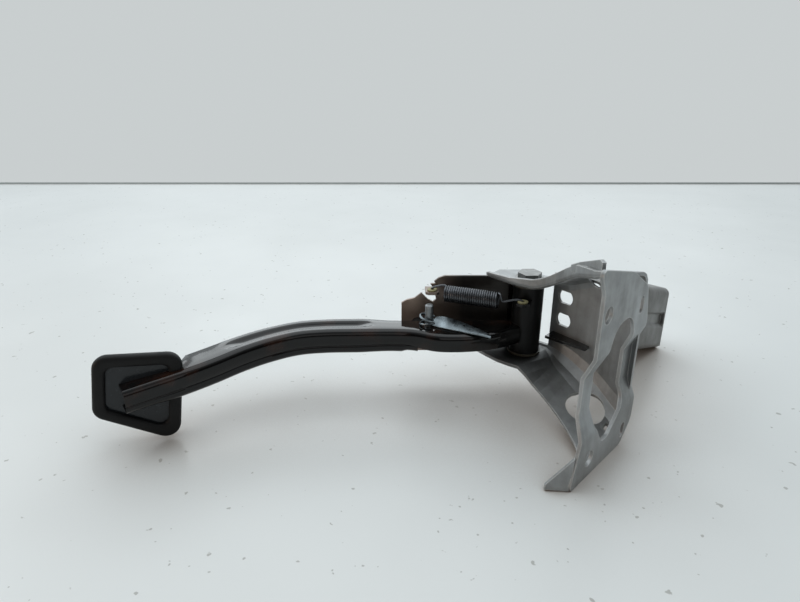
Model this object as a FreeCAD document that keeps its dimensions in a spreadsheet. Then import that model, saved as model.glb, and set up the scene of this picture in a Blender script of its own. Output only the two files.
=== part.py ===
import FreeCAD, Part
import math
import os
import re

import Sketcher
from FreeCAD import Placement, Rotation, Vector

# Driving dimensions in millimetres and degrees
SIZES = [
    ("bracket_wall", 2.3, "bracket sheet"),
    ("floor_drop", 61, "mounting centre above the lowest point"),
    ("stud_pitch", 95, "between the two round stud holes"),
    ("stud_hole", 10.5, "round stud hole"),
    ("slot_offset", 47, "slots from the round holes, sideways"),
    ("slot_width", 5.5, "slot width"),
    ("slot_length", 11, "slot end to end"),
    ("slot_pitch", 90, "between the two slots"),
    ("joggle", 6, "depth of the flange's stepped-back middle"),
    ("flange_left", -8, "near edge of the flange"),
    ("flange_right", 60, "far edge of the flange"),
    ("flange_top", 78, "highest point of the flange"),
    ("stiffener_long", 32, "strip on the far wall"),
    ("stiffener_wide", 40, "strip on the far wall, trimmed by the wall"),
    ("stiffener_level", -12, "strip on the far wall"),
    ("ear_gap", 55, "clear space between the two ears"),
    ("ear_low", -24.85, "upper face of the lower ear"),
    ("pivot_x", -86, "pivot behind the mounting face"),
    ("pivot_y", 59.4, "pivot beside the stud holes"),
    ("rest_angle", 43, "arm direction at rest"),
    ("bolt_size", 10, "pivot bolt"),
    ("bolt_head", 15, "pivot bolt head and nut across flats"),
    ("head_height", 4, "pivot bolt head"),
    ("nut_height", 7, "pivot nut"),
    ("washer_outer", 21, "pivot washer and the bolt head's collar"),
    ("washer_wall", 1.5, "pivot washer and the bolt head's collar"),
    ("thread_end", 3, "bolt beyond its nut"),
    ("shank_gap", 0.05, "bolt shank in its holes, radially"),
    ("sleeve_wall", 2, "pivot spacer wall"),
    ("bush_wall", 1.9, "pivot bush wall"),
    ("bush_flange", 1.5, "pivot bush flange"),
    ("bush_length", 14, "pivot bush length"),
    ("bush_rim", 1, "pivot bush flange beyond the hub, radially"),
    ("running_gap", 0.05, "radial clearance of the running fit"),
    ("side_gap", 0.3, "clearance between moving faces"),
    ("hub_outer", 22, "hub tube"),
    ("arm_width", 22, "arm across, in the swing plane"),
    ("arm_height", 17, "arm along the pivot axis"),
    ("arm_top", -1, "upper face of the arm"),
    ("upper_depth", 10.5, "depth of the upper arm shell"),
    ("arm_wall", 2.2, "arm sheet"),
    ("arm_corner", 4.5, "outer corner of the arm section"),
    ("bead_wide", 10, "bead in the arm's top"),
    ("bead_deep", 1.1, "bead in the arm's top"),
    ("pad_long", 55, "pad along its plate"),
    ("pad_tall", 61, "pad at its wide end"),
    ("pad_short", 37, "pad at its narrow end"),
    ("pad_skew", 10.6, "lower edge set over from the upper one"),
    ("pad_angle", 17, "pad plate against the straight arm"),
    ("pad_roll", 17.6, "pad turned in its own plane"),
    ("pad_x", -264.5, "pad centre from the pivot"),
    ("pad_y", -65, "pad centre from the pivot"),
    ("pad_z", -23.6, "pad centre along the pivot axis"),
    ("pad_steel", 3, "pad plate"),
    ("pad_cover", 7, "rubber in front of the plate"),
    ("pad_lip", 3, "rubber behind the plate"),
    ("pad_rim", 8, "width of the rubber rim behind the plate"),
    ("pad_round", 8, "pad corners"),
    ("plate_inset", 3, "rubber outside the plate's edge"),
    ("grooves", 5, "grooves across the tread"),
    ("groove_wide", 3, "tread groove"),
    ("groove_deep", 2, "tread groove"),
    ("pin_size", 6, "clevis pin"),
    ("pin_x", -72, "clevis pin from the pivot"),
    ("pin_y", -7, "clevis pin from the pivot"),
    ("pin_top", 15.2, "free end of the clevis pin"),
    ("pin_seat", 0.25, "shoulder of the clevis pin, radially"),
    ("pin_head", 2, "clevis pin head beyond its shank, radially"),
    ("head_wall", 3, "clevis pin head"),
    ("edge_break", 0.8, "turned ends, broken edge"),
    ("clip_outer", 15, "clip ring on the pin"),
    ("clip_wall", 1.5, "clip sheet"),
    ("clip_long", 47, "clip tongue from the pin"),
    ("clip_wide", 7, "clip tongue"),
    ("clip_turn", -28, "clip tongue against the arm"),
    ("coil_outer", 13.5, "spring coil"),
    ("wire", 1.6, "spring wire"),
    ("coil_turns", 28, "closed turns"),
    ("coil_shift", 4.5, "coil nearer to the fixed end"),
    ("anchor_x", -69.5, "fixed spring end"),
    ("anchor_y", 5, "fixed spring end"),
    ("anchor_z", 20.5, "fixed spring end"),
    ("horn_x", -7, "moving spring end"),
    ("horn_y", -16.5, "moving spring end"),
    ("horn_z", 19.5, "moving spring end"),
    ("lug_wall", 2, "spring lugs and stop bracket sheet"),
    ("lug_half", 5, "half the width of a spring lug"),
    ("lug_bore", 2.5, "bush hole in a spring lug, radius"),
    ("bush_eye", 1.4, "eye of a spring bush, radius"),
    ("bush_lip", 3.6, "lip of a spring bush, radius"),
    ("lip_wall", 1, "lip of a spring bush"),
    ("stop_face", 12, "front face of the stop bracket"),
    ("stop_low", -31, "lowest edge of the stop bracket"),
    ("stop_left", -92, "outer edge of the stop bracket"),
    ("stop_right", -12, "inner edge of the stop bracket"),
    ("fold_long", 9, "fold under the upper ear"),
    ("bumper_x", -79, "stop bumper along the arm"),
    ("bumper_z", -9, "stop bumper along the pivot"),
    ("bumper_size", 12, "stop bumper"),
    ("stay_height", 52, "stay channel height"),
    ("stay_depth", 24, "stay channel depth"),
    ("stay_drop", 50, "fall of the stay towards its far end"),
    ("stay_end", 209, "far end of the stay"),
    ("stay_face", -36, "front face of the stay"),
    ("stay_hole", 10.5, "bolt hole in the stay's end"),
]

doc = FreeCAD.newDocument("brake_pedal")
sheet = doc.addObject("Spreadsheet::Sheet", "Sizes")
for row, (alias, value, note) in enumerate(SIZES, start=1):
    sheet.set("A%d" % row, note)
    sheet.set("B%d" % row, str(value))
    sheet.setAlias("B%d" % row, alias)
doc.recompute()
ALIASES = {alias for alias, value, note in SIZES}
NODES = []


def cells(text):
    """An expression on the sheet's cells, from plain aliases."""
    return re.sub("[a-z_]+", lambda word: "Sizes." + word.group() if word.group() in ALIASES else word.group(), text)


def size(text):
    """The present value of an alias or of an expression on aliases."""
    return float(sheet.evalExpression(cells(text)))


# Places
UP = Vector(0, 0, 1)
TURN = Rotation(UP, size("rest_angle"))
PIVOT = Placement(Vector(size("pivot_x"), size("pivot_y"), 0), TURN)
FLOOR = -size("floor_drop")
SHEET = size("bracket_wall")
EAR_LOW = size("ear_low")
EAR_HIGH = size("ear_low + ear_gap")
STRAIGHT = 1e-6
BEND_FACETS = 3
SEAT = 0.03


def on_arm(across, away, turn=0):
    """A place in the arm's frame, whose origin is on the pivot."""
    return PIVOT.multiply(Placement(Vector(size(across), size(away), 0), Rotation(UP, turn)))


# Features bound to the sheet
def start_body(name, place):
    body = doc.addObject("PartDesign::Body", name)
    body.Label = name
    body.Placement = place
    NODES.append(body)
    return body


def start_sketch(body, name, role, lift):
    """A sketch on one of the body's own origin planes, lifted along its normal."""
    sketch = body.newObject("Sketcher::SketchObject", name)
    plane = next(part for part in body.Origin.OriginFeatures if part.Role == role)
    sketch.AttachmentSupport = [(plane, "")]
    sketch.MapMode = "FlatFace"
    sketch.setExpression("AttachmentOffset.Base.z", cells(lift))
    return sketch


def pin_down(sketch, kind, geometry, point, text):
    """Binds one distance of the sketch to the sheet."""
    if kind == "Radius":
        constraint = Sketcher.Constraint(kind, geometry, size(text))
    else:
        constraint = Sketcher.Constraint(kind, -1, 1, geometry, point, size(text))
    index = sketch.addConstraint(constraint)
    sketch.setExpression("Constraints[%d]" % index, cells(text))


def polygon(body, name, role, corners, lift="0"):
    """A closed outline whose corners are bound to the sheet."""
    sketch = start_sketch(body, name, role, lift)
    places = [Vector(size(across), size(up), 0) for across, up in corners]
    count = len(corners)
    for here in range(count):
        sketch.addGeometry(Part.LineSegment(places[here], places[(here + 1) % count]), False)
    for here in range(count):
        sketch.addConstraint(Sketcher.Constraint("Coincident", here, 2, (here + 1) % count, 1))
    for here, (across, up) in enumerate(corners):
        pin_down(sketch, "DistanceX", here, 1, across)
        pin_down(sketch, "DistanceY", here, 1, up)
    return sketch


def circle(body, name, role, across, up, radius, lift="0"):
    sketch = start_sketch(body, name, role, lift)
    sketch.addGeometry(Part.Circle(Vector(size(across), size(up), 0), Vector(0, 0, 1), size(radius)), False)
    pin_down(sketch, "DistanceX", 0, 3, across)
    pin_down(sketch, "DistanceY", 0, 3, up)
    pin_down(sketch, "Radius", 0, 0, radius)
    return sketch


def pad(body, sketch, length, backward=False):
    feature = body.newObject("PartDesign::Pad", sketch.Name + "Pad")
    feature.Profile = sketch
    feature.setExpression("Length", cells(length))
    feature.Reversed = backward
    return feature


def pocket(body, sketch, depth, backward=False):
    feature = body.newObject("PartDesign::Pocket", sketch.Name + "Pocket")
    feature.Profile = sketch
    feature.setExpression("Length", cells(depth))
    feature.Reversed = backward
    return feature


def turned(name, place, corners):
    """A round piece: half its section, turned about the upright axis."""
    body = start_body(name, place)
    sketch = polygon(body, name + "Section", "XZ_Plane", corners)
    feature = body.newObject("PartDesign::Revolution", name + "Turn")
    feature.Profile = sketch
    feature.ReferenceAxis = (sketch, ["V_Axis"])
    feature.Angle = 360
    return body


def tube(name, place, inner, outer, low, high):
    return turned(name, place, [(inner, low), (outer, low), (outer, high), (inner, high)])


def hexagon(across):
    """Corners of a hexagon of that width across its flats."""
    return [("(%s) / sqrt(3) * cos(%d deg)" % (across, 60 * k), "(%s) / sqrt(3) * sin(%d deg)" % (across, 60 * k))
            for k in range(6)]


def round_corners(body, feature, axis, radius):
    """Rounds the feature's straight edges that run along the axis."""
    doc.recompute()
    names = []
    for index, edge in enumerate(feature.Shape.Edges, start=1):
        direction = edge.tangentAt(edge.FirstParameter)
        if len(edge.Vertexes) == 2 and abs(direction.dot(axis)) > 1 - STRAIGHT:
            names.append("Edge%d" % index)
    rounded = body.newObject("PartDesign::Fillet", feature.Name + "Corners")
    rounded.Base = (feature, names)
    rounded.setExpression("Radius", cells(radius))
    return rounded


def primitive(kind, name, **texts):
    """A Part primitive whose sizes are bound to the sheet."""
    node = doc.addObject(kind, name)
    for prop, text in texts.items():
        node.setExpression(prop.replace("__", "."), cells(text))
    return node


def combined(kind, name, base, tool):
    """A sub-part made of two other objects."""
    node = doc.addObject(kind, name)
    node.Label = name
    node.Base = base
    node.Tool = tool
    node.Refine = True
    NODES.append(node)
    return node


def worked_out(name, shape):
    """An object whose shape is worked out in this file from the sheet's values."""
    node = doc.addObject("Part::Feature", name)
    node.Label = name
    node.Shape = shape
    return node


def keep(name, shape, place=Placement()):
    node = worked_out(name, shape)
    node.Placement = place
    NODES.append(node)
    return node


# Bent sheet outlines, shared by the pressed pieces
def side_line(points, shift):
    """The centre line moved sideways by shift, with mitred corners."""
    moved = []
    for here in range(len(points)):
        before = points[max(here - 1, 0)]
        after = points[min(here + 1, len(points) - 1)]
        first = unit(before, points[here]) if here > 0 else unit(points[here], after)
        last = unit(points[here], after) if here < len(points) - 1 else first
        middle = (first[0] + last[0], first[1] + last[1])
        length = math.hypot(*middle)
        normal = (-middle[1] / length, middle[0] / length)
        reach = shift / (length / 2)
        moved.append((points[here][0] + normal[0] * reach, points[here][1] + normal[1] * reach))
    return moved


def unit(start, end):
    length = math.hypot(end[0] - start[0], end[1] - start[1])
    return ((end[0] - start[0]) / length, (end[1] - start[1]) / length)


def facet_path(points, radii, place, facets):
    """Like rounded_path, but with flat facets round each corner, so that neighbours meet in plain quads."""
    chain = [points[0]]
    for corner in range(1, len(points) - 1):
        here = points[corner]
        first = unit(points[corner - 1], here)
        last = unit(here, points[corner + 1])
        turn = math.atan2(first[0] * last[1] - first[1] * last[0], first[0] * last[0] + first[1] * last[1])
        side = math.copysign(radii[corner - 1], turn)
        back = abs(side * math.tan(turn / 2))
        enter = (here[0] - first[0] * back, here[1] - first[1] * back)
        centre = (enter[0] - first[1] * side, enter[1] + first[0] * side)
        for step in range(facets + 1):
            angle = turn * step / facets
            spoke = (enter[0] - centre[0], enter[1] - centre[1])
            chain.append((centre[0] + spoke[0] * math.cos(angle) - spoke[1] * math.sin(angle),
                          centre[1] + spoke[0] * math.sin(angle) + spoke[1] * math.cos(angle)))
    chain.append(points[-1])
    return [place(point) for point in chain]


def facet_wire(points, radii, wall, place):
    """Closed outline of a bent sheet with faceted bends."""
    faces = []
    for face in (1, -1):
        bends = [radius - face * turn * wall / 2 for radius, turn in zip(radii, corner_turns(points))]
        faces.append(facet_path(side_line(points, face * wall / 2), bends, place, BEND_FACETS))
    left, right = faces
    return Part.makePolygon(left + right[::-1] + left[:1])


def rounded_path(points, radii, place):
    """Edges along the points, each inner corner rounded by its radius."""
    edges = []
    start = points[0]
    for corner in range(1, len(points) - 1):
        here = points[corner]
        first = unit(points[corner - 1], here)
        last = unit(here, points[corner + 1])
        turn = math.atan2(first[0] * last[1] - first[1] * last[0], first[0] * last[0] + first[1] * last[1])
        if abs(turn) < STRAIGHT:
            continue
        back = radii[corner - 1] * math.tan(abs(turn) / 2)
        enter = (here[0] - first[0] * back, here[1] - first[1] * back)
        leave = (here[0] + last[0] * back, here[1] + last[1] * back)
        bow = radii[corner - 1] * (1 / math.cos(turn / 2) - 1)
        inward = unit(here, ((enter[0] + leave[0]) / 2, (enter[1] + leave[1]) / 2))
        middle = (here[0] + inward[0] * bow, here[1] + inward[1] * bow)
        edges.append(Part.LineSegment(place(start), place(enter)).toShape())
        edges.append(Part.Arc(place(enter), place(middle), place(leave)).toShape())
        start = leave
    edges.append(Part.LineSegment(place(start), place(points[-1])).toShape())
    return edges


def corner_turns(points):
    turns = []
    for corner in range(1, len(points) - 1):
        first = unit(points[corner - 1], points[corner])
        last = unit(points[corner], points[corner + 1])
        turns.append(math.copysign(1, first[0] * last[1] - first[1] * last[0]))
    return turns


def sheet_wire(points, radii, wall, place):
    """Closed outline of a bent sheet whose centre line runs through the points."""
    turns = corner_turns(points)
    left = side_line(points, wall / 2)
    right = side_line(points, -wall / 2)
    left_radii = [radius - turn * wall / 2 for radius, turn in zip(radii, turns)]
    right_radii = [radius + turn * wall / 2 for radius, turn in zip(radii, turns)]
    edges = rounded_path(left, left_radii, place)
    edges.append(Part.LineSegment(place(left[-1]), place(right[-1])).toShape())
    edges += rounded_path(right[::-1], right_radii[::-1], place)
    edges.append(Part.LineSegment(place(right[0]), place(left[0])).toShape())
    return Part.Wire(edges)


def closed_wire(corners, place):
    """Closed outline of corner points, each rounded by its own radius."""
    points = [point for point, radius in corners]
    radii = [radius for point, radius in corners]
    start = ((points[0][0] + points[-1][0]) / 2, (points[0][1] + points[-1][1]) / 2)
    edges = rounded_path([start] + points + [start], radii, place)
    return Part.Wire(edges)


def block(wire, depth):
    return Part.Face(wire).extrude(depth)


def flat_faces(corners):
    """One four-sided face where the corners lie in a plane, or else two triangles."""
    first, second, third, last = corners
    normal = (second - first).cross(third - first)
    if normal.Length < STRAIGHT or (last - first).cross(third - first).Length < STRAIGHT:
        return [Part.Face(Part.makePolygon([first, second, last, first]))]
    normal.normalize()
    if abs((last - first).dot(normal)) < STRAIGHT:
        return [Part.Face(Part.makePolygon(corners + [first]))]
    return [Part.Face(Part.makePolygon([first, second, third, first])),
            Part.Face(Part.makePolygon([first, third, last, first]))]


def loft(wires):
    """A solid through polygons with equally many corners, in flat faces only."""
    rings = [[vertex.Point for vertex in wire.OrderedVertexes] for wire in wires]
    faces = [Part.Face(wires[0]), Part.Face(wires[-1])]
    for near, far in zip(rings, rings[1:]):
        for here, start in enumerate(near):
            after = (here + 1) % len(near)
            faces += flat_faces([start, near[after], far[after], far[here]])
    shell = Part.Shell(faces)
    shell.sewShape()
    solid = Part.Solid(shell)
    if solid.Volume < 0:
        solid.reverse()
    return solid


def ruled(wires):
    """A solid through many like sections, straight from each to the next."""
    return Part.makeLoft(wires, True, True)


def between(rows, steps):
    """Rows of numbers with smooth in-between rows, steps to each span."""
    smooth = []
    for here in range(len(rows) - 1):
        before = rows[max(here - 1, 0)]
        after = rows[min(here + 2, len(rows) - 1)]
        for step in range(steps):
            part = step / steps
            smooth.append([blend(*four, part) for four in zip(before, rows[here], rows[here + 1], after)])
    return smooth + [list(rows[-1])]


def blend(before, start, end, after, part):
    """One number on the smooth curve from start to end. What is level stays level."""
    if start == end:
        return start
    leave = (end - before) / 2
    arrive = (after - start) / 2
    rest = 3 * (end - start) - 2 * leave - arrive
    return start + part * (leave + part * (rest + part * (leave + arrive - 2 * (end - start))))


def tube_along(start, end, radius):
    direction = end - start
    return Part.makeCylinder(radius, direction.Length, start, direction)


# Every sub-part ends here
NODES = []


# Sections of the pressed bracket, seen along the mounting axis
def bracket_rows():
    """Each row: place, near edge and level of the upper wall, far wall, its two ends, lower wall, radii."""
    left = size("flange_left")
    right = size("flange_right")
    top = size("flange_top")
    ear = EAR_HIGH + SHEET / 2
    sill = EAR_LOW - SHEET / 2
    behind = size("pivot_x")
    side = size("pivot_y")
    return [
        (behind - 27, side - 13, ear, side + 18, ear, sill, side - 22, sill, 3.5, 5.5, 5.5),
        (behind - 6, side - 16, ear, side + 18, ear, sill, side - 26, sill, 4.8, 5.5, 5.5),
        (behind + 11, side - 15, ear, side + 18, ear, sill, side - 25, sill, 7, 5.5, 5.5),
        (behind + 24, side - 16, ear + 6, side + 16, ear + 3, sill - 4, side - 25, sill - 9, 7, 10, 14),
        (behind + 38, side - 22, ear + 15, right + 13, ear + 9, sill - 9, side - 26, sill - 18, 8, 11, 18),
        (behind + 58, side - 46, ear + 29, right + 8, ear + 18, sill - 18, side - 35, sill - 26, 7, 12, 20),
        (behind + 76, left + 6, top - 10, right + 1, top - 23, FLOOR + 7, side - 50, FLOOR + 3, 4, 12, 20),
        (-SHEET, left + 2, top - 6, right - 3, top - 21, FLOOR + 5, left - 2, FLOOR + 2, 3, 12, 20),
    ]


def bracket_section(row):
    back, near_top, top, far, far_top, far_low, near_low, low, lip, round_top, round_low = row
    path = [(near_top, top + lip), (near_top, top), (far, far_top), (far, far_low), (near_low, low)]
    return path, [2.5, round_top, round_low], lambda point: Vector(back, point[0], point[1])


def bracket_sections():
    return [bracket_section(row) for row in between(bracket_rows(), 2)]


def pressed_funnel():
    return loft([facet_wire(path, radii, SHEET, place) for path, radii, place in bracket_sections()])


def funnel_core(face):
    """The space that the funnel encloses, up to its outer face (1) or its inner face (-1)."""
    wires = []
    for path, radii, place in bracket_sections():
        edge = side_line(path[1:], face * (SHEET / 2 + SEAT))
        corners = facet_path(edge, [radius + face * SHEET / 2 for radius in radii[1:]], place, BEND_FACETS)
        wires.append(Part.makePolygon(corners + corners[:1]))
    return loft(wires)


# Flange: a joggled sheet cut to its outline
def flange_outline():
    """Corner points of the flange with their radii, from the near low corner upwards."""
    left = size("flange_left")
    right = size("flange_right")
    top = size("flange_top")
    return [
        ((left - 14, FLOOR), 3), ((left, -12), 6), ((left, top - 17), 5), ((left - 8, top), 3),
        ((28, top - 12), 20), ((53, top - 27), 10), ((right, top - 51), 10), ((right, FLOOR + 14), 12),
        ((right - 14, FLOOR), 8),
    ]


def booster_opening():
    """Arch above, straight sides and a round-ended vee below, with their radii."""
    left = size("flange_left") + 12
    right = size("flange_right") - 15
    return [
        ((left, 10), 6), ((14, 37), 14), ((37, 37), 14), ((right, 10), 8),
        ((right, -24), 8), ((24, -43), 5), ((15, -43), 5), ((left, -27), 5),
    ]


def firewall_flange():
    step = size("joggle")
    middle = -SHEET / 2
    levels = [(middle, FLOOR - 5), (middle, -30), (middle - step, -16), (middle - step, 8), (middle, 22), (middle, 90)]
    side = size("flange_left") - 20
    depth = Vector(0, size("flange_right") + 10 - side, 0)
    wire = sheet_wire(levels, [6, 6, 6, 6], SHEET, lambda point: Vector(point[0], side, point[1]))
    bent = block(wire, depth)

    def upright(point):
        return Vector(-step - 2 * SHEET, point[0], point[1])
    through = Vector(step + 4 * SHEET, 0, 0)
    flat = block(closed_wire(flange_outline(), upright), through)
    opening = block(closed_wire(booster_opening(), upright), through)
    return bent.common(flat).cut(opening)


def slot_cutter(across, height):
    """A tall slot through the flange."""
    half = size("slot_width") / 2
    straight = size("slot_length") / 2 - half
    ends = [Part.makeCylinder(half, 20, Vector(-12, across, height + end), Vector(1, 0, 0)) for end in (-straight, straight)]
    bar = Part.makeBox(20, 2 * half, 2 * straight, Vector(-12, across - half, height - straight))
    return ends[0].fuse([ends[1], bar])


def flange_holes():
    cutters = []
    for level in (-0.5, 0.5):
        at = Vector(-12, 0, level * size("stud_pitch"))
        cutters.append(Part.makeCylinder(size("stud_hole") / 2, 20, at, Vector(1, 0, 0)))
        cutters.append(slot_cutter(size("slot_offset"), level * size("slot_pitch") - 5))
    return cutters


def pivot_cutter():
    at = Vector(size("pivot_x"), size("pivot_y"), EAR_LOW - 20)
    return Part.makeCylinder(size("bolt_size") / 2, size("ear_gap") + 40, at, UP)


def far_wall_cutters():
    """Open back of the ears, the two flat-sided holes and the upper corner hole."""
    behind = size("pivot_x") + 11
    side = size("pivot_y") + 8
    back = Part.makeBox(60, 30, size("ear_gap") - 4, Vector(behind - 60, side, EAR_LOW + 2))
    cutters = [back]
    for height in (1.5, 19):
        round_hole = Part.makeCylinder(6, 30, Vector(behind + 11, side, height), Vector(0, 1, 0))
        flats = Part.makeBox(12, 30, 9.5, Vector(behind + 5, side, height - 4.75))
        cutters.append(round_hole.common(flats))
    cutters.append(Part.makeCylinder(6.5, 40, Vector(behind + 36, side - 15, 41), Vector(0, 1, 0)))
    return cutters


def near_foot():
    """The turned lip at the near low corner, which stands on the table."""
    heel = Vector(-SHEET / 2, size("flange_left") - 13, FLOOR + 0.5)
    rise = Vector(0, 4, 21)
    toe = heel + Vector(-11, -9, 0.6)
    face = Part.Face(Part.makePolygon([heel, heel + rise, toe + rise * 0.15, toe, heel]))
    thick = rise.cross(toe - heel)
    thick.normalize()
    return face.extrude(thick * -SHEET)


def top_tab():
    """Upright tab on the near edge of the upper wall."""
    side = size("pivot_y")
    corners = [Vector(-34.2, side - 41.4, 60.3), Vector(-35.2, side - 40.6, 64.5), Vector(-26.7, side - 47, 69.6),
               Vector(-9.1, side - 60.2, 78.2), Vector(-6.5, side - 62.2, 77.3), Vector(-6.3, side - 62.4, 70)]
    inward = (corners[2] - corners[0]).cross(corners[3] - corners[2])
    inward.z = 0
    inward.normalize()
    flat = [corner - inward * ((corner - corners[0]).dot(inward)) for corner in corners]
    return Part.Face(Part.makePolygon(flat + flat[:1])).extrude(inward * SHEET)


def pedal_bracket():
    floor_hole = Part.makeCylinder(13, 34, Vector(-28, 55, FLOOR - 2), Vector(0, -0.35, 1))
    back_corner = Part.makeBox(70, 30, 140, Vector(-50, 20, -70))
    back_corner.Placement = PIVOT
    reach = Part.makeBox(40, 60, 140, Vector(size("pivot_x") - 41, size("pivot_y") - 20, -70))
    shell = pressed_funnel().cut(back_corner.common(reach)).fuse([firewall_flange(), near_foot(), top_tab()])
    return shell.cut(flange_holes() + far_wall_cutters() + [pivot_cutter(), floor_hole])


keep("pedal_bracket", pedal_bracket().removeSplitter())


# Stay: a ribbed channel behind the bracket
def stay_channel():
    """Open channel, sloping down to its far end, where a bolted plate closes it."""
    lower = size("lug_wall")
    face = size("stay_face") - lower / 2
    back = face - size("stay_depth")
    start = size("pivot_y") - 10
    length = size("stay_end") - start
    slope = math.degrees(math.atan2(size("stay_drop"), length))
    low = FLOOR + lower / 2
    high = low + size("stay_height")
    middle = (low + high) / 2
    groove = 3
    path = [(back, low), (face, low), (face, middle - 7), (face - groove, middle - 4),
            (face - groove, middle + 4), (face, middle + 7), (face, high), (back, high)]
    wire = sheet_wire(path, [4, 2, 2, 2, 2, 4], lower, lambda point: Vector(point[0], start - 30, point[1]))
    channel = block(wire, Vector(0, length + 60, 0))
    channel.rotate(Vector(face, size("stay_end"), FLOOR), Vector(1, 0, 0), -slope)
    beyond = Part.makeBox(200, 100, 300, Vector(face - 100, size("stay_end"), FLOOR - 100))
    inside = Part.makeBox(200, 100, 300, Vector(face - 100, start - 100, FLOOR - 100))
    end_plate = Part.makeBox(size("stay_depth"), lower, size("stay_height") - 4,
                             Vector(back + 1, size("stay_end") - lower, low + 2))
    bolt_at = Vector((face + back) / 2, size("stay_end") - 6, middle)
    hole = Part.makeCylinder(size("stay_hole") / 2, 10, bolt_at, Vector(0, 1, 0))
    return channel.cut([beyond, inside]).fuse([end_plate]).cut([hole, funnel_core(1)])


keep("stay_channel", stay_channel().removeSplitter())


# Black strip welded along the inside of the far wall
strip = primitive("Part::Box", "StiffenerStrip", Length="stiffener_long", Width="stiffener_wide", Height="lug_wall",
                  Placement__Base__x="pivot_x + 14", Placement__Base__y="pivot_y + 5",
                  Placement__Base__z="stiffener_level")
combined("Part::Common", "wall_stiffener", strip, worked_out("FunnelInside", funnel_core(-1)))


# Stop bracket: one plate behind the spring and the arm, with the spring's lug
def stop_bracket():
    body = start_body("stop_bracket", PIVOT)
    top = "ear_low + ear_gap"
    outline = [
        ("stop_right", top), ("anchor_x + 9.5", top), ("anchor_x + 5", top + " - 1.7"), ("anchor_x + 1.8", top + " - 4.4"),
        ("anchor_x + 3", top + " - 6"), ("anchor_x - 1", top + " - 6.4"), ("anchor_x + 1.5", top + " - 9.6"),
        ("anchor_x + 3.5", "11.5"), ("anchor_x + 1", "9.4"), ("anchor_x - 3", "11.8"), ("anchor_x - 7.6", "16.6"),
        ("bumper_x - 3", "12.6"), ("stop_left + 4", "11"), ("stop_left", "8.6"), ("stop_left", "bumper_z - 7"),
        ("bumper_x - 3", "stop_low"), ("bumper_x + 36", "stop_low"), ("bumper_x + 41", "stop_low + 4"),
        ("bumper_x + 44", "ear_low + 5"), ("stop_right", "ear_low + 5"),
    ]
    plate = polygon(body, "StopPlate", "XZ_Plane", outline, "-stop_face")
    pad(body, plate, "lug_wall", True)
    fold = polygon(body, "StopFold", "XZ_Plane", [
        ("stop_right - 16", top + " - lug_wall"), ("stop_right", top + " - lug_wall"), ("stop_right", top),
        ("stop_right - 16", top)], "-stop_face")
    pad(body, fold, "fold_long", True)
    lug = polygon(body, "AnchorLug", "XY_Plane", [
        ("anchor_x - lug_half", "anchor_y - lug_half + 2"), ("anchor_x - lug_half + 2", "anchor_y - lug_half"),
        ("anchor_x + lug_half - 2", "anchor_y - lug_half"), ("anchor_x + lug_half", "anchor_y - lug_half + 2"),
        ("anchor_x + lug_half", "stop_face + lug_wall / 2"), ("anchor_x - lug_half", "stop_face + lug_wall / 2"),
    ], "anchor_z - lug_wall / 2")
    pad(body, lug, "lug_wall")
    bore = circle(body, "AnchorBore", "XY_Plane", "anchor_x", "anchor_y", "lug_bore", "anchor_z + lug_wall / 2")
    pocket(body, bore, "lug_wall")


stop_bracket()

# Pivot: bolt with collar and hexagon head, spacer, two flanged bushes, hub tube, washer and nut
OVER = "ear_low + ear_gap + bracket_wall"
UNDER = "ear_low - bracket_wall"
HEAD_LOW = OVER + " + edge_break"
NUT_LOW = UNDER + " - washer_wall - nut_height"
TAIL = NUT_LOW + " - thread_end"
SHANK = "bolt_size / 2 - shank_gap"
SLEEVE = "bolt_size / 2 + sleeve_wall"
BUSH_IN = SLEEVE + " + running_gap"
BUSH_OUT = BUSH_IN + " + bush_wall"
HUB = "hub_outer / 2"
HUB_LOW = "ear_low + side_gap + bush_flange"
HUB_HIGH = "ear_low + ear_gap - side_gap - bush_flange"


def pivot_bolt():
    collar = "washer_outer / 2"
    body = turned("pivot_bolt", PIVOT, [
        ("0", TAIL), (SHANK + " - edge_break", TAIL), (SHANK, TAIL + " + edge_break"), (SHANK, OVER),
        (collar, OVER), (collar, HEAD_LOW), ("0", HEAD_LOW)])
    head = polygon(body, "BoltHead", "XY_Plane", hexagon("bolt_head"), HEAD_LOW)
    pad(body, head, "head_height")


pivot_bolt()
tube("pivot_washer", PIVOT, "bolt_size / 2", "washer_outer / 2", UNDER + " - washer_wall", UNDER)
nut_body = primitive("Part::Prism", "NutBody", Circumradius="bolt_head / sqrt(3)", Height="nut_height",
                     Placement__Base__z=NUT_LOW)
nut_bore = primitive("Part::Cylinder", "NutBore", Radius="bolt_size / 2", Height="nut_height",
                     Placement__Base__z=NUT_LOW)
combined("Part::Cut", "pivot_nut", nut_body, nut_bore).Placement = PIVOT
tube("pivot_sleeve", PIVOT, "bolt_size / 2", SLEEVE, "ear_low", "ear_low + ear_gap")
tube("hub_tube", PIVOT, BUSH_OUT, HUB, HUB_LOW, HUB_HIGH)
turned("hub_bush_upper", PIVOT, [
    (BUSH_IN, HUB_HIGH + " - bush_length"), (BUSH_OUT, HUB_HIGH + " - bush_length"), (BUSH_OUT, HUB_HIGH),
    (HUB + " + bush_rim", HUB_HIGH), (HUB + " + bush_rim", HUB_HIGH + " + bush_flange"),
    (BUSH_IN, HUB_HIGH + " + bush_flange")])
turned("hub_bush_lower", PIVOT, [
    (BUSH_IN, HUB_LOW + " - bush_flange"), (HUB + " + bush_rim", HUB_LOW + " - bush_flange"),
    (HUB + " + bush_rim", HUB_LOW), (BUSH_OUT, HUB_LOW), (BUSH_OUT, HUB_LOW + " + bush_length"),
    (BUSH_IN, HUB_LOW + " + bush_length")])

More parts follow.
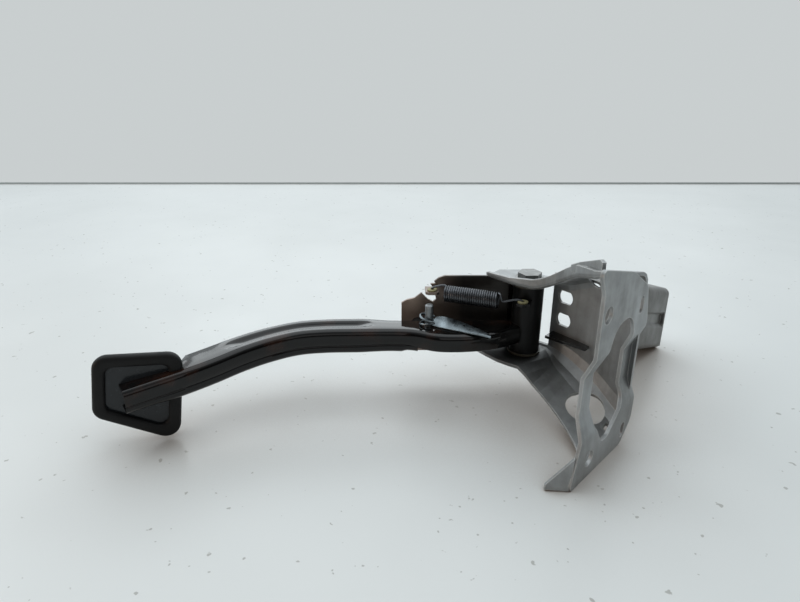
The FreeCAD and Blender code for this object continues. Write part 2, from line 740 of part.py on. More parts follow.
# Arm: two pressed halves lofted along the same stations, with a stiffening bead pressed into the top
ARM_TOP = size("arm_top")
ARM_WALL = size("arm_wall")
STATIONS = [
    (-6, -1, ARM_TOP, 20, 90), (-24, -8, ARM_TOP, 26, 90), (-44, -11, ARM_TOP, 30, 90), (-66, -11, ARM_TOP, 30, 90),
    (-84, -7.5, ARM_TOP, 23, 90), (-104, -6.5, ARM_TOP, 22, 90), (-126, -7, ARM_TOP, 22, 90),
    (-148, -8, ARM_TOP, 22, 90), (-168, -11, ARM_TOP - 0.5, 22, 99), (-188, -19, ARM_TOP - 2, 22, 110),
    (-206, -29, ARM_TOP - 4.2, 22, 118), (-224, -40, ARM_TOP - 7.5, 23, 120), (-243, -50, ARM_TOP - 11.3, 23, 120),
    (-275, -66, ARM_TOP - 16.6, 21, 120),
]
LOWER_FROM = 4
BEAD_FROM = 5
BEAD_TO = 10


def station_place(station):
    """Maps across and up to the station's own plane."""
    along, side, top, width, heading = station
    across = Vector(math.cos(math.radians(heading)), math.sin(math.radians(heading)), 0)
    return lambda point: Vector(along, side, top) + across * point[0] + UP * point[1]


def shell_wire(station, roof, rim):
    """A channel section between two levels below the station's top."""
    half = station[3] / 2 * size("arm_width / 22") - ARM_WALL / 2
    path = [(-half, rim), (-half, roof), (half, roof), (half, rim)]
    corner = min(size("arm_corner"), abs(roof - rim) / 2)
    return facet_wire(path, [corner] * 2, ARM_WALL, station_place(station))


def box_wire(station, half, low, high):
    place = station_place(station)
    corners = [place(point) for point in [(-half, low), (half, low), (half, high), (-half, high)]]
    return Part.makePolygon(corners + corners[:1])


def arm_bead():
    """The hollow pressed into the top, with round ends."""
    half = size("bead_wide / 2")
    low = -size("bead_deep")
    run = between(STATIONS[BEAD_FROM:BEAD_TO + 1], 2)[1:-1]
    ends = [Part.makeCylinder(half, 1 - low, station_place(station)((0, low)), UP) for station in (run[0], run[-1])]
    return loft([box_wire(station, half, low, 1) for station in run]).fuse(ends)


def envelope(clearance):
    """The outer form of the arm near its foot."""
    low = -size("arm_height") - clearance
    return loft([box_wire(station, station[3] / 2 + clearance, low, clearance) for station in between(STATIONS[8:], 2)])


def pad_place():
    tilt = Rotation(UP, size("pad_angle")).multiply(Rotation(Vector(0, 1, 0), size("pad_roll")))
    return PIVOT.multiply(Placement(Vector(size("pad_x"), size("pad_y"), size("pad_z")), tilt))


def pad_corners(inset):
    """The pad's outline, wide at its outer end."""
    half, tall, short = "(pad_long / 2 - %s)" % inset, "(pad_tall / 2 - %s)" % inset, "(pad_short / 2 - %s)" % inset
    wide, narrow = "pad_skew / 2", "pad_skew / 2 * pad_short / pad_tall"
    return [(narrow + " - " + half, "-" + short), (half + " + " + wide, "-" + tall),
            (half + " - " + wide, tall), ("-" + half + " - " + narrow, short)]


def beyond_pad():
    """What lies in the pad's outline on the foot side of its plate, in the arm's frame."""
    corners = [Vector(size(across), 0, size(up)) for across, up in pad_corners("0")]
    slab = block(Part.makePolygon(corners + corners[:1]), Vector(0, 60, 0))
    slab.Placement = PIVOT.inverse().multiply(pad_place())
    return slab


HUB_ROUND = Part.makeCylinder(size(HUB), 100, Vector(0, 0, -50), UP)
PIN_SEAT = "pin_size / 2 + pin_seat"
pin_hole = Part.makeCylinder(size(PIN_SEAT), 60, Vector(size("pin_x"), size("pin_y"), -40), UP)
split = -size("upper_depth")
upper = ruled([shell_wire(station, -ARM_WALL / 2, split) for station in between(STATIONS, 2)])
floor_level = -size("arm_height") + ARM_WALL / 2
lower = ruled([shell_wire(station, floor_level, split) for station in between(STATIONS[LOWER_FROM:], 2)])
keep("arm_upper_shell", upper.cut([HUB_ROUND, pin_hole, beyond_pad()]).cut(arm_bead()), PIVOT)
keep("arm_lower_shell", lower.cut([beyond_pad()]), PIVOT)


# Spring horn welded to the hub, and the bushes of both spring lugs
def spring_horn():
    reach = "sqrt(horn_x ^ 2 + horn_y ^ 2)"
    turn = math.degrees(math.atan2(size("horn_y"), size("horn_x")))
    body = start_body("spring_horn", on_arm("0", "0", turn))
    low = "horn_z - lug_wall / 2"
    bar = polygon(body, "HornBar", "XY_Plane", [
        ("0", "-lug_half"), (reach, "-lug_half"), (reach + " + lug_half * 0.7", "-lug_half * 0.7"),
        (reach + " + lug_half", "0"), (reach + " + lug_half * 0.7", "lug_half * 0.7"), (reach, "lug_half"),
        ("0", "lug_half")], low)
    pad(body, bar, "lug_wall")
    hub = circle(body, "HornSeat", "XY_Plane", "0", "0", HUB, low + " + lug_wall")
    pocket(body, hub, "lug_wall")
    eye = circle(body, "HornBore", "XY_Plane", reach, "0", "lug_bore", low + " + lug_wall")
    pocket(body, eye, "lug_wall")


def lug_bush(name, place, level):
    top = level + " + lug_wall / 2"
    turned(name, place, [
        ("bush_eye", level + " - lug_wall / 2"), ("lug_bore", level + " - lug_wall / 2"), ("lug_bore", top),
        ("bush_lip", top), ("bush_lip", top + " + lip_wall"), ("bush_eye", top + " + lip_wall")])


spring_horn()
lug_bush("spring_horn_bush", on_arm("horn_x", "horn_y"), "horn_z")
lug_bush("spring_anchor_bush", on_arm("anchor_x", "anchor_y"), "anchor_z")

# Clevis pin and its clip
PIN_UNDER = "arm_top - arm_wall"
CLIP_TOP = "arm_top + clip_wall"
turned("clevis_pin", on_arm("pin_x", "pin_y"), [
    ("0", PIN_UNDER + " - head_wall"), (PIN_SEAT + " + pin_head", PIN_UNDER + " - head_wall"),
    (PIN_SEAT + " + pin_head", PIN_UNDER), (PIN_SEAT, PIN_UNDER), (PIN_SEAT, CLIP_TOP), ("pin_size / 2", CLIP_TOP),
    ("pin_size / 2", "pin_top - edge_break"), ("pin_size / 2 - edge_break", "pin_top"), ("0", "pin_top")])


def pin_clip():
    """Sheet ring on the pin with a long tongue over the arm."""
    body = start_body("pin_clip", on_arm("pin_x", "pin_y", size("clip_turn")))
    tongue = polygon(body, "ClipTongue", "XY_Plane", [
        ("0", "0"), ("clip_long", "clip_wide * 0.3"), ("clip_long + 1", "clip_wide * 0.55"),
        ("clip_long", "clip_wide * 0.8"), ("0", "clip_wide")], "arm_top")
    pad(body, tongue, "clip_wall")
    rim = circle(body, "ClipRing", "XY_Plane", "0", "0", "clip_outer / 2", "arm_top")
    pad(body, rim, "clip_wall")
    bore = circle(body, "ClipBore", "XY_Plane", "0", "0", PIN_SEAT, CLIP_TOP)
    pocket(body, bore, "clip_wall")


pin_clip()

# Stop bumper between the stop bracket and the arm
STOP_RUN = "stop_face - pin_y - arm_width / 2 - side_gap"
facing = Placement(Vector(size("bumper_x"), size("stop_face"), size("bumper_z")), Rotation(Vector(1, 0, 0), 90))
turned("stop_bumper", PIVOT.multiply(facing), [
    ("0", "0"), ("bumper_size / 2", "0"), ("bumper_size / 2", STOP_RUN + " - 2"), ("bumper_size / 2 - 2", STOP_RUN),
    ("0", STOP_RUN)])


# Pad: steel plate and the rubber round it, both in the pad's own frame
def pad_plate():
    body = start_body("pad_plate", pad_place())
    blank = pad(body, polygon(body, "PlateBlank", "XZ_Plane", pad_corners("plate_inset")), "pad_steel", True)
    round_corners(body, blank, Vector(0, 1, 0), "pad_round - plate_inset")


def pad_rubber():
    """Rubber with a seat for the plate, a rim behind it and ribs across the tread."""
    body = start_body("PadMoulding", pad_place())
    NODES.remove(body)
    front = "pad_steel + pad_cover"
    whole = polygon(body, "RubberBlank", "XZ_Plane", pad_corners("0"), "pad_lip")
    blank = pad(body, whole, "pad_lip + " + front, True)
    round_corners(body, blank, Vector(0, 1, 0), "pad_round")
    window = polygon(body, "RubberWindow", "XZ_Plane", pad_corners("pad_rim"), "pad_lip")
    pocket(body, window, "pad_lip")
    seat = polygon(body, "PlateSeat", "XZ_Plane", pad_corners("plate_inset"))
    pocket(body, seat, "pad_steel")
    tread = "pad_long / 2 - pad_rim"
    reach = "(pad_short / 2 - plate_inset)"
    first = polygon(body, "TreadGroove", "XZ_Plane", [
        ("-(%s)" % tread, "-" + reach), ("groove_wide - (%s)" % tread, "-" + reach),
        ("groove_wide - (%s)" % tread, reach), ("-(%s)" % tread, reach)], "-(%s)" % front)
    groove = pocket(body, first, "groove_deep", True)
    doc.recompute()
    row = body.newObject("PartDesign::LinearPattern", "TreadGrooves")
    row.Originals = [groove]
    row.Direction = (first, ["H_Axis"])
    row.setExpression("Length", cells("pad_long - 2 * pad_rim - groove_wide"))
    row.setExpression("Occurrences", cells("grooves"))
    body.Tip = row
    arm_form = worked_out("ArmForm", envelope(size("side_gap")))
    arm_form.Placement = PIVOT
    combined("Part::Cut", "pad_rubber", body, arm_form)


pad_plate()
pad_rubber()


# Return spring: close coils drawn as ribs, and a hook at each end
def coil_ribs(start, axis, outer):
    """One flat-sided ring for each turn, so the coil stays light."""
    wire = size("wire")
    side = axis.cross(UP)
    side.normalize()
    rise = side.cross(axis)
    rings = []
    for step in range(2 * int(size("coil_turns")) + 1):
        radius = outer if step % 2 else outer - wire / 2
        centre = start + axis * (step * wire / 2)
        turns = [2 * math.pi * k / COIL_SIDES for k in range(COIL_SIDES + 1)]
        rings.append(Part.makePolygon([centre + rise * (radius * math.cos(a)) + side * (radius * math.sin(a))
                                       for a in turns]))
    return loft(rings)


def hook(face, tip, reach, radius):
    """The wire leaves the last turn's top, runs to the lug and drops through its bush."""
    near = face + UP * reach
    bend = Vector(tip.x, tip.y, (near.z + tip.z + reach) / 2)
    drop = tip - UP * size("lug_wall / 2 + lip_wall")
    over = (bend - near).normalize() * radius
    return [tube_along(near, bend + over, radius), tube_along(bend + UP * (radius / 2), drop, radius)]


def return_spring():
    start = Vector(size("anchor_x"), size("anchor_y"), size("anchor_z"))
    end = Vector(size("horn_x"), size("horn_y"), size("horn_z"))
    axis = end - start
    axis.normalize()
    length = size("coil_turns * wire")
    middle = (start + end) * 0.5 - axis * size("coil_shift")
    radius = size("wire / 2")
    outer = size("coil_outer / 2")
    first = middle - axis * (length / 2)
    last = middle + axis * (length / 2)
    bore = tube_along(first - axis, last + axis, outer - 2 * radius - 0.6)
    coil = coil_ribs(first, axis, outer).cut([bore])
    inside = axis * size("wire")
    hooks = hook(first + inside, start, outer - radius, radius) + hook(last - inside, end, outer - radius, radius)
    return coil.fuse(hooks)


COIL_SIDES = 12
keep("return_spring", return_spring(), PIVOT)

# Everything is worked out, checked and written
doc.recompute()
os.makedirs("parts", exist_ok=True)
for node in doc.Objects:
    if "Invalid" in node.State or "Error" in node.State:
        raise RuntimeError("%s failed" % node.Label)
for node in NODES:
    if node.Shape.isNull() or not node.Shape.isValid():
        raise RuntimeError("%s has no valid shape" % node.Label)
    print("%-20s solids %d volume %.0f" % (node.Label, len(node.Shape.Solids), node.Shape.Volume))
for node in NODES:
    node.Shape.exportStep("parts/%s.step" % node.Label)
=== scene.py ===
"""Brake pedal on its bracket: looks, spring, arm pressings, pad, clip, web, floor, light and camera."""
import math

import bmesh
import bpy
from mathutils import Matrix, Vector
from mathutils.geometry import tessellate_polygon


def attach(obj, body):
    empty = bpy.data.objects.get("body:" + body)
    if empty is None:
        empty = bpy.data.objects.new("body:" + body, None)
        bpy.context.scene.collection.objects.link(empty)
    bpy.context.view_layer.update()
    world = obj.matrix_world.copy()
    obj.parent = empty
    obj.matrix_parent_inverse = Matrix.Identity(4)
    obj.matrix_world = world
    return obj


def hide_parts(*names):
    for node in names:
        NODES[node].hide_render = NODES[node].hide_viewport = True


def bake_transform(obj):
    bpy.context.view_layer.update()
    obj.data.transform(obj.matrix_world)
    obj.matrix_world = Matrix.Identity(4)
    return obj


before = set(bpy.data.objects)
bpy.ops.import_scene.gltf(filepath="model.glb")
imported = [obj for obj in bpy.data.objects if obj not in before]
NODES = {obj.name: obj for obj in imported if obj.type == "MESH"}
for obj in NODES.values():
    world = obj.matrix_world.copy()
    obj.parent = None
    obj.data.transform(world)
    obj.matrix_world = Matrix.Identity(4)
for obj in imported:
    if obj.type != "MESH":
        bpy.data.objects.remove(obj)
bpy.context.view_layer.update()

MM = 0.001
UP = Vector((0, 0, 1))

# Camera, as the photograph was taken
CAMERA_PLACE = Vector((0.12276, -0.30096, 0.179))
CAMERA_AZIMUTH = math.radians(43)
CAMERA_PITCH = math.radians(22)
LENS = 27
SENSOR_WIDTH = 36
NEAREST_SEEN = 0.01

# Floor, in metres: its height, how far it runs from the camera's foot and the joint at its far edge
FLOOR_Z = -0.061
FLOOR_NEAR = -3.0
FLOOR_EDGE = 1.238
FLOOR_SIDE = 4.0
JOINT_LINE = 0.0035
SHADOW_REACH = 0.11

# Arm frame: origin on the pivot, first axis along the straight of the arm, lengths in millimetres
PIVOT = (-0.086, 0.0594, 0)
ARM_TURN = math.radians(43)
ARM = Matrix.Translation(PIVOT) @ Matrix.Rotation(ARM_TURN, 4, "Z")


def arm_point(x, y, z):
    return ARM @ (Vector((x, y, z)) * MM)


# Node trees
class Shading:
    """A node tree with short ways to add nodes to it."""

    def __init__(self, tree):
        self.tree = tree

    def fill(self, node, inputs):
        """Gives each input its value, or a link where another node makes it."""
        for name, value in inputs.items():
            if isinstance(value, bpy.types.NodeSocket):
                self.tree.links.new(value, node.inputs[name])
            else:
                node.inputs[name].default_value = value

    def add(self, kind, inputs=None):
        node = self.tree.nodes.new("ShaderNode" + kind)
        self.fill(node, inputs or {})
        return node

    def measure(self, operation, first, second):
        """A number from two vectors, such as their distance."""
        node = self.add("VectorMath")
        node.operation = operation
        self.fill(node, {0: first, 1: second})
        return node.outputs["Value"]

    def ramp(self, source, first, second, start=0.3, end=0.7):
        """The first colour up to the start, the second from the end on, and a blend between."""
        node = self.add("ValToRGB", {"Fac": source})
        for element, position, colour in zip(node.color_ramp.elements, (start, end), (first, second)):
            element.position = position
            element.color = (*colour, 1)
        return node.outputs["Color"]


class Look(Shading):
    """A procedural material. Its textures are given by scale and detail, its reaches in millimetres."""

    def __init__(self, name, roughness, metallic=0.0):
        self.material = bpy.data.materials.new(name)
        self.material.use_nodes = True
        super().__init__(self.material.node_tree)
        self.shader = self.tree.nodes["Principled BSDF"]
        self.fill(self.shader, {"Roughness": roughness, "Metallic": metallic})
        self.place = self.add("TexCoord").outputs["Object"]

    def noise(self, scale, detail, rough=0.55, stretch=None):
        place = self.place
        if stretch:
            place = self.add("Mapping", {"Vector": place, "Scale": stretch}).outputs["Vector"]
        texture = {"Vector": place, "Scale": scale, "Detail": detail, "Roughness": rough}
        return self.add("TexNoise", texture).outputs["Fac"]

    def mix(self, factor, first, second, mode="MIX"):
        """Two colours mixed. The sockets go by number, as each name stands for several of them."""
        node = self.add("Mix")
        node.data_type = "RGBA"
        node.blend_type = mode
        self.fill(node, {0: factor, 6: first, 7: second})
        return node.outputs[2]

    def darkened(self, base, stain, weight):
        return self.mix(weight, base, stain, "MULTIPLY")

    def spread(self, source, low, high, start=0.3, end=0.7):
        """A number between low and high, from where a value stands between its start and its end."""
        limits = {"Value": source, "From Min": start, "From Max": end, "To Min": low, "To Max": high}
        return self.add("MapRange", limits).outputs["Result"]

    def along(self, direction, start, end):
        """Rises from 0 to 1 between two distances along a direction from the origin."""
        return self.spread(self.measure("DOT_PRODUCT", self.place, direction), 0, 1, start * MM, end * MM)

    def near(self, centre, start, end):
        """Falls from 1 to 0 between two distances from a point."""
        return self.spread(self.measure("DISTANCE", self.place, centre), 1, 0, start * MM, end * MM)

    def rounded(self, reach):
        """The surface's direction with its edges rounded off."""
        bevel = self.add("Bevel", {"Radius": reach * MM})
        bevel.samples = BEVEL_SAMPLES
        return bevel.outputs["Normal"]

    def edges(self, reach):
        """Near 1 along bent or cut edges and 0 on flat faces."""
        flat = self.add("NewGeometry").outputs["Normal"]
        return self.spread(self.measure("DOT_PRODUCT", self.rounded(reach), flat), 1, 0, *EDGE_TURN)

    def colour(self, source):
        self.fill(self.shader, {"Base Color": source})

    def roughness(self, texture, low, high):
        self.fill(self.shader, {"Roughness": self.spread(texture, low, high)})

    def bump(self, heights, edge):
        """Bumps from (texture, height) pairs over softly rounded edges."""
        normal = self.rounded(edge)
        for texture, height in heights:
            relief = {"Strength": 1.0, "Distance": height * MM, "Height": texture, "Normal": normal}
            normal = self.add("Bump", relief).outputs["Normal"]
        self.fill(self.shader, {"Normal": normal})


# Shades and roughness of the looks, and the range of bend that counts as an edge
BEVEL_SAMPLES = 4
EDGE_TURN = (0.86, 0.99)
WHITE = (1, 1, 1)
STREAK = (0.86, 0.85, 0.84)
GRIME = (0.68, 0.66, 0.63)
# Bare steel at worn edges, which also serves as a painted highlight along them
BARE_STEEL_AND_HIGHLIGHT = (0.7, 0.69, 0.67, 1)
# Black spray round a point, partly a painted shade where the hub shades the lower ear, and its reach
SPRAY_AND_SHADE = (0.022, 0.021, 0.02, 1)
SPRAY_AND_SHADE_REACH = (13, 34)
SHEET_ROUGH = (0.4, 0.56)
# Stop sheet: a painted brown reflection, and its black paint
BROWN_REFLECTION = [(0.25, 0.19, 0.155), (0.4, 0.31, 0.255)]
BLACK_SHEET = [(0.02, 0.018, 0.016), (0.045, 0.039, 0.034)]
BLACK_FROM, BLACK_TO = (-84, 13, 0), (-46, 13, 0)
STOP_ROUGH = (0.28, 0.46)
COAT = {"Specular IOR Level": 0.2, "Coat Weight": 1.0, "Coat Roughness": 0.05, "Coat IOR": 1.25}
DUST_SHADE = 3.2
SPECK_SHADE = (1.5, 1.5, 1.5)


def tinted(value, tint):
    return tuple(value * part for part in tint)


def sheet_steel(name, light, dark, tint, spray_shade_point=None):
    """Zinc coated sheet: clouds, drawing streaks, grime, bare edges that also paint an edge highlight,
    and black spray round a point that also paints the shade under the hub.
    """
    look = Look(name, SHEET_ROUGH[0], metallic=0.7)
    clouds = look.ramp(look.noise(38, 5), tinted(dark, tint), tinted(light, tint))
    streaks = look.ramp(look.noise(160, 3, stretch=(1, 1, 0.12)), STREAK, WHITE, 0.38, 0.58)
    grime = look.ramp(look.noise(14, 6, rough=0.7), GRIME, WHITE, 0.36, 0.55)
    base = look.darkened(clouds, streaks, weight=0.8)
    base = look.darkened(base, grime, weight=0.75)
    # Bare steel along edges, partly a painted highlight on them
    worn_and_highlit = look.darkened(look.edges(0.9), look.noise(130, 4), weight=0.5)
    base = look.mix(worn_and_highlit, base, BARE_STEEL_AND_HIGHLIGHT)
    # Black spray round the point, which also paints the shade that falls under the hub
    if spray_shade_point is not None:
        spray_shade_mask = look.mix(0.4, look.near(spray_shade_point, *SPRAY_AND_SHADE_REACH), look.noise(70, 6, rough=0.7), "OVERLAY")
        base = look.mix(spray_shade_mask, base, SPRAY_AND_SHADE)
    look.colour(base)
    look.roughness(look.noise(90, 4), *SHEET_ROUGH)
    look.bump([(look.noise(420, 3), 0.02), (look.noise(55, 3), 0.06)], edge=0.6)
    return look.material


def stop_sheet():
    """Black painted sheet with a painted brown reflection at its free end, fading to its plain black
    paint towards the hub.
    """
    look = Look("stop_sheet", 0.34, metallic=0.55)
    reflection = look.ramp(look.noise(40, 5), *BROWN_REFLECTION)
    black = look.ramp(look.noise(55, 5), *BLACK_SHEET)
    outward = ARM.to_3x3() @ Vector((1, 0, 0))
    limits = [outward.dot(arm_point(*point)) / MM for point in (BLACK_FROM, BLACK_TO)]
    # The painted reflection fades into the black paint towards the hub
    cloud = look.mix(0.35, look.along(outward, *limits), look.noise(60, 6, rough=0.7), "OVERLAY")
    look.colour(look.mix(cloud, reflection, black))
    look.roughness(look.noise(90, 4), *STOP_ROUGH)
    look.bump([(look.noise(420, 3), 0.02), (look.noise(55, 3), 0.05)], edge=0.4)
    return look.material


def gloss_paint(name, base, rough=(0.05, 0.13), tint=WHITE, thin=None):
    """Thick black dip paint with orange peel and dust, and brownish spots where it is thin."""
    look = Look(name, rough[0])
    look.fill(look.shader, COAT)
    dust = look.noise(260, 6, rough=0.75)
    cover = look.ramp(dust, tinted(base, tint), tinted(base * DUST_SHADE, tint), 0.6, 0.8)
    if thin:
        spots = look.ramp(look.noise(30, 4, rough=0.6), (0, 0, 0), WHITE, 0.52, 0.66)
        cover = look.mix(spots, cover, thin)
    look.colour(cover)
    look.roughness(look.noise(46, 5), *rough)
    look.bump([(look.noise(210, 2), 0.02), (look.noise(34, 2), 0.16)], edge=0.5)
    return look.material


def moulded(name, light, dark, tint, rough, grain=900, depth=0.03, shine=0.5):
    """Moulded rubber or nylon: fine grain and a faint bloom."""
    look = Look(name, rough[0])
    look.fill(look.shader, {"Specular IOR Level": shine})
    bloom = look.ramp(look.noise(60, 5), tinted(dark, tint), tinted(light, tint), 0.3, 0.72)
    specks = look.ramp(look.noise(grain, 4), WHITE, SPECK_SHADE, 0.55, 0.75)
    look.colour(look.darkened(bloom, specks, weight=0.5))
    look.roughness(look.noise(120, 4), *rough)
    look.bump([(look.noise(grain, 3), depth)], edge=0.5)
    return look.material


def plated(name, light, dark, tint, rough=(0.22, 0.4)):
    """Plated or drawn steel of the small parts."""
    look = Look(name, rough[0], metallic=1.0)
    look.colour(look.ramp(look.noise(150, 5), tinted(dark, tint), tinted(light, tint)))
    look.roughness(look.noise(240, 4), *rough)
    look.bump([(look.noise(700, 3), 0.012)], edge=0.35)
    return look.material


SHEET = sheet_steel("galvanised_sheet", 0.46, 0.32, (0.97, 1.0, 1.01), spray_shade_point=arm_point(-4, -4, -33))
STAY = sheet_steel("stay_sheet", 0.25, 0.18, (1, 0.99, 0.96))
STOP = stop_sheet()
PAINT = gloss_paint("black_dip_paint", 0.004, thin=(0.026, 0.011, 0.007, 1))
PLATE = gloss_paint("black_plate_paint", 0.022, rough=(0.2, 0.35), tint=(0.85, 1, 1.15))
PAD = moulded("pad_rubber", 0.01, 0.006, (1, 1, 1.02), (0.42, 0.6), shine=0.22)
BUMPER = moulded("bumper_rubber", 0.012, 0.008, WHITE, (0.5, 0.7), shine=0.25)
DARK_BUSH = moulded("dark_bush", 0.05, 0.03, (1, 0.9, 0.6), (0.4, 0.55), depth=0.01)
OLIVE = moulded("olive_nylon", 0.3, 0.2, (1, 0.88, 0.4), (0.4, 0.55), depth=0.01)
PALE = moulded("pale_nylon", 0.34, 0.24, (1, 0.92, 0.5), (0.35, 0.5), depth=0.01)
ZINC = plated("zinc_plate", 0.6, 0.42, WHITE)
BOLT_LOOK = plated("bolt_zinc", 0.24, 0.15, (1, 1, 0.97), rough=(0.3, 0.5))
CLIP_LOOK = plated("clip_steel", 0.27, 0.15, (0.86, 1, 1.08))
PIN_LOOK = plated("pin_steel", 0.34, 0.2, (0.95, 1, 1.03), rough=(0.3, 0.5))
HUB_PAINT = moulded("hub_paint", 0.006, 0.004, WHITE, (0.3, 0.42), grain=300, depth=0.015, shine=0.2)
WIRE = plated("spring_wire", 0.13, 0.08, (1, 1.04, 1.12), rough=(0.25, 0.4))

NODE_LOOKS = {
    "pedal_bracket": SHEET,
    "stay_channel": STAY,
    "stop_bracket": STOP,
    "wall_stiffener": PAINT,
    "pivot_bolt": BOLT_LOOK,
    "pivot_washer": ZINC,
    "pivot_nut": ZINC,
    "pivot_sleeve": ZINC,
    "stop_bumper": BUMPER,
    "spring_anchor_bush": OLIVE,
    "hub_tube": HUB_PAINT,
    "hub_bush_upper": DARK_BUSH,
    "hub_bush_lower": DARK_BUSH,
    "spring_horn": PAINT,
    "spring_horn_bush": PALE,
    "clevis_pin": PIN_LOOK,
    "pad_plate": PLATE,
}


def dress_nodes():
    for name, look in NODE_LOOKS.items():
        for slot in NODES[name].material_slots:
            slot.material = look


# Meshes: points nearer than this are one, and bends in degrees from which an edge is sharp
JOIN_WITHIN = 0.005 * MM
SOFT_BEND = 40
FIRM_BEND = 50
WIRE_SIDES = 8


def add_object(name, data):
    piece = bpy.data.objects.new(name, data)
    bpy.context.scene.collection.objects.link(piece)
    return piece


def closed_mesh(name, points, faces):
    """A mesh with doubled points joined and its faces turned outwards."""
    mesh = bpy.data.meshes.new(name)
    mesh.from_pydata([tuple(point) for point in points], [], faces)
    form = bmesh.new()
    form.from_mesh(mesh)
    bmesh.ops.remove_doubles(form, verts=form.verts, dist=JOIN_WITHIN)
    bmesh.ops.recalc_face_normals(form, faces=form.faces)
    form.to_mesh(mesh)
    form.free()
    return mesh


def skin(name, rings, sharp=SOFT_BEND, cap=None):
    """A closed skin over rings of equally many points. Edges that bend by more than sharp stay sharp."""
    count = len(rings[0])
    last = count * (len(rings) - 1)
    cap = cap or [tuple(range(count))]
    faces = [tuple(reversed(face)) for face in cap]
    faces += [tuple(last + corner for corner in face) for face in cap]
    for ring in range(len(rings) - 1):
        for here in range(count):
            nearer = ring * count + here
            beside = ring * count + (here + 1) % count
            faces.append((nearer, beside, beside + count, nearer + count))
    mesh = closed_mesh(name, [point for ring in rings for point in ring], faces)
    mesh.polygons.foreach_set("use_smooth", [True] * len(mesh.polygons))
    mesh.set_sharp_from_angle(angle=math.radians(sharp))
    return add_object(name, mesh)


def smooth_line(points, steps):
    """A smooth curve through the points, with some steps from each to the next."""
    line = []
    for here in range(len(points) - 1):
        before = points[max(here - 1, 0)]
        after = points[min(here + 2, len(points) - 1)]
        start, end = points[here], points[here + 1]
        for step in range(steps):
            part = step / steps
            line.append(0.5 * (
                2 * start + (end - before) * part
                + (2 * before - 5 * start + 4 * end - after) * part ** 2
                + (3 * start - before - 3 * end + after) * part ** 3
            ))
    line.append(points[-1])
    return line


def round_wire(name, line, radius):
    """A round wire swept along a line of points, with closed ends."""
    rings = []
    normal = (line[1] - line[0]).orthogonal().normalized()
    angles = [2 * math.pi * side / WIRE_SIDES for side in range(WIRE_SIDES)]
    for here, point in enumerate(line):
        ahead = line[min(here + 1, len(line) - 1)] - line[max(here - 1, 0)]
        ahead.normalize()
        normal = (normal - ahead * normal.dot(ahead)).normalized()
        across = ahead.cross(normal)
        outward = [normal * math.cos(angle) + across * math.sin(angle) for angle in angles]
        rings.append([point + way * radius for way in outward])
    return skin(name, rings)


# Coil spring in the arm frame: where it hangs, its coil, how far that lies towards the start, its wire
SPRING_START = Vector((-69.5, 5, 20.5))
SPRING_END = Vector((-7, -16.5, 19.5))
COIL_TURNS = 24
COIL_OUTER = 12.6
COIL_SHIFT = 3.4
WIRE_SIZE = 1.6
STEPS_PER_TURN = 20
HOOK_STEPS = 8

# Hooks: points beside the start, (axis, side, up) from the coil's ends, and (axis, upright) from the end
START_HOOK = [(0, 0, -2.2), (0, 0, 0.8), (0.6, 0, 3.2)]
START_LEAD = (-3.0, 0, 0.4)
END_LEAD = [(1.6, 1.5, -1.0), (3.6, 1.2, -5.2)]
END_HOOK = [(-6.0, 2.2), (-1.5, 2.4), (0, 1.4), (0, -2.2)]


def moved(point, amounts, ways):
    """A point moved by an amount along each of the ways."""
    for amount, way in zip(amounts, ways):
        point = point + way * amount
    return point


def coil_line(axis, side, up):
    """Centre line of the closed coil."""
    reach = COIL_OUTER / 2 - WIRE_SIZE / 2
    length = COIL_TURNS * WIRE_SIZE
    first = (SPRING_START + SPRING_END) / 2 - axis * (COIL_SHIFT + length / 2)
    line = []
    for step in range(COIL_TURNS * STEPS_PER_TURN + 1):
        turn = step / STEPS_PER_TURN
        angle = 2 * math.pi * turn
        outward = up * math.cos(angle) + side * math.sin(angle)
        line.append(first + axis * (turn * WIRE_SIZE) + outward * reach)
    return line


def spring_line():
    """Centre line of the wire: hook, closed coil, hook."""
    axis = (SPRING_END - SPRING_START).normalized()
    side = axis.cross(UP).normalized()
    up = side.cross(axis)
    ways = (axis, side, up)
    coil = coil_line(*ways)
    lead = [SPRING_START + Vector(offset) for offset in START_HOOK]
    lead += [moved(coil[0], START_LEAD, ways), coil[0]]
    tail = [coil[-1]] + [moved(coil[-1], amounts, ways) for amounts in END_LEAD]
    tail += [moved(SPRING_END, amounts, (axis, UP)) for amounts in END_HOOK]
    return smooth_line(lead, HOOK_STEPS)[:-1] + coil + smooth_line(tail, HOOK_STEPS)[1:]


def make_spring():
    spring = round_wire("coil_spring", [arm_point(*point) for point in spring_line()], WIRE_SIZE / 2 * MM)
    spring.data.materials.append(WIRE)
    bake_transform(spring)
    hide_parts("return_spring")


# Arm: station rows of distance along the arm, side, top, width and heading of the across direction
ARM_STATIONS = [
    (-6, -1, -1, 20, 90), (-24, -8, -1, 26, 90), (-44, -11, -1, 30, 90), (-66, -11, -1, 30, 90),
    (-84, -7.5, -1, 23, 90), (-104, -6.5, -1, 22, 90), (-126, -7, -1, 22, 90), (-148, -8, -1, 22, 90),
    (-168, -11, -1.5, 22, 99), (-188, -19, -3, 22, 110), (-206, -29, -5.2, 22, 118),
    (-224, -41, -8.1, 23, 120), (-243, -54, -10.6, 22, 120), (-272, -70, -16, 17, 120),
]
ROW_STEPS = 10

# Nearest that the arm comes to the pivot axis, just inside the hub tube's wall
HUB_SEAT = 10.4

# Sheet of both pressings: wall, outer corner, the straight below it, and the rounding of the rim
SHELL_WALL = 2.2
SHELL_CORNER = 4.5
CORNER_STEPS = 6
CORNER_LEAD = 0.4
RIM_ROUND = 0.5
RIM_RISE = 0.6

